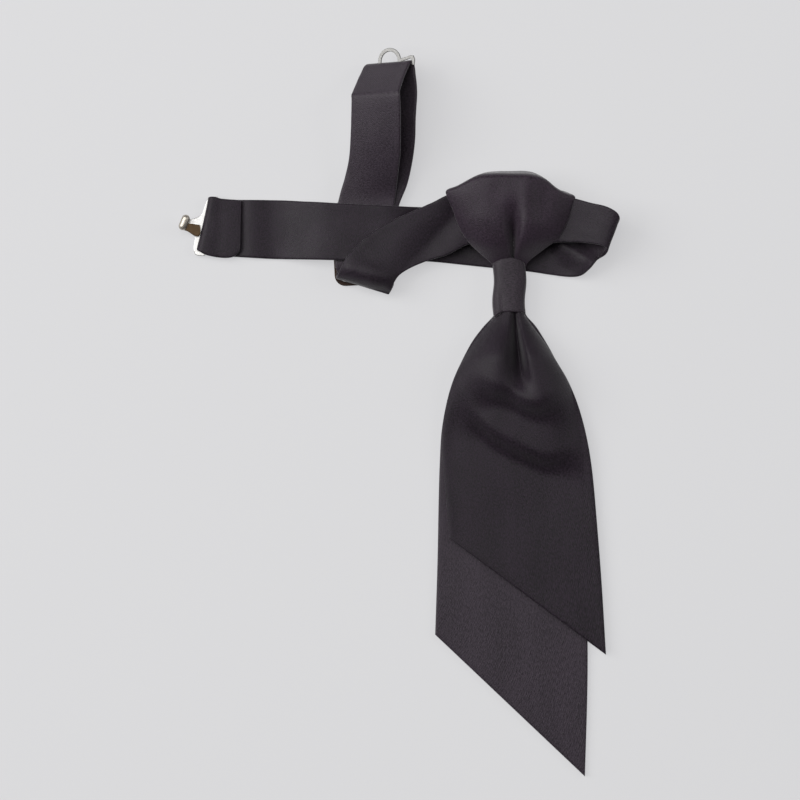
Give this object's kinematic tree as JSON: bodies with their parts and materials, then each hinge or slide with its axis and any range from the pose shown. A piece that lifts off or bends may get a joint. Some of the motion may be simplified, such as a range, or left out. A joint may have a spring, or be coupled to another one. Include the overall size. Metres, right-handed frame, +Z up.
{
  "type": "pre-tied cravat",
  "caption": "Pre-tied satin cravat: a cloth ring holds two diagonal-cut tails and a puffed drape looped over an adjustable hook-and-eye neckband, laid flat.",
  "frame": {"origin": "centre of the ring's flat back, on the surface that the cravat lies on", "axes": "+Y from the ring towards the neckband, opposite the tails; +Z up out of the cloth's face; +X towards the neckband's curl"},
  "size_m": [0.1884, 0.3105, 0.0276],
  "materials": {
    "satin": "black satin weave, semi-matt sheen",
    "interlining": "brushed wool-blend interlining",
    "thread": "black sewing thread",
    "nickel": "bright nickel plate"
  },
  "bodies": {
    "knot": {"knot_ring": "satin", "knot_drape": "satin", "front_tail_neck": "satin", "back_tail_neck": "satin", "neckband_cloth": "satin", "neckband_interlining": "interlining"},
    "back_tail": {"back_tail_face": "satin", "back_tail_interlining": "interlining", "back_tail_back": "satin"},
    "front_tail": {"front_tail_face": "satin", "front_tail_interlining": "interlining", "front_tail_back": "satin"},
    "hook_strap": {"hook_strap_cloth": "satin", "hook_strap_interlining": "interlining", "hook_strap_stitches": "thread"},
    "hook": {"hook": "nickel"},
    "adjuster": {"adjuster": "nickel", "adjuster_tab": "satin", "adjuster_stitches": "thread", "loop_upper_cloth": "satin", "loop_upper_interlining": "interlining", "loop_lower_cloth": "satin", "loop_lower_interlining": "interlining"},
    "eye_strap": {"eye_strap_cloth": "satin", "eye_strap_interlining": "interlining"},
    "eye": {"eye": "nickel"}
  },
  "joints": [
    {"name": "back_tail_lift", "type": "hinge", "parent": "knot", "child": "back_tail", "pos_m": [0, -0.01265, 0.0088], "axis": [-1, 0, 0], "range_deg": [0, 60]},
    {"name": "front_tail_lift", "type": "hinge", "parent": "back_tail", "child": "front_tail", "pos_m": [0, -0.01265, 0.0088], "axis": [-1, 0, 0], "range_deg": [0, 60]},
    {"name": "hook_strap_lift", "type": "hinge", "parent": "knot", "child": "hook_strap", "pos_m": [-0.082, 0.0243, 0.0076], "axis": [0, 1, 0], "range_deg": [0, 75]},
    {"name": "hook_pivot", "type": "hinge", "parent": "hook_strap", "child": "hook", "pos_m": [-0.1295, 0.0272, 0.00195], "axis": [0.1994, 0.9799, 0], "range_deg": [-20, 50]},
    {"name": "neck_size", "type": "slide", "parent": "knot", "child": "adjuster", "axis": [0, 1, 0], "range_m": [0, 0.024]},
    {"name": "eye_strap_lift", "type": "hinge", "parent": "adjuster", "child": "eye_strap", "pos_m": [-0.0624, 0.042, 0.00625], "axis": [1, 0, 0], "range_deg": [0, 75]},
    {"name": "eye_pivot", "type": "hinge", "parent": "eye_strap", "child": "eye", "pos_m": [-0.0518, 0.0942, 0.0092], "axis": [0.848, 0, 0.5299], "range_deg": [-30, 25]}
  ]
}
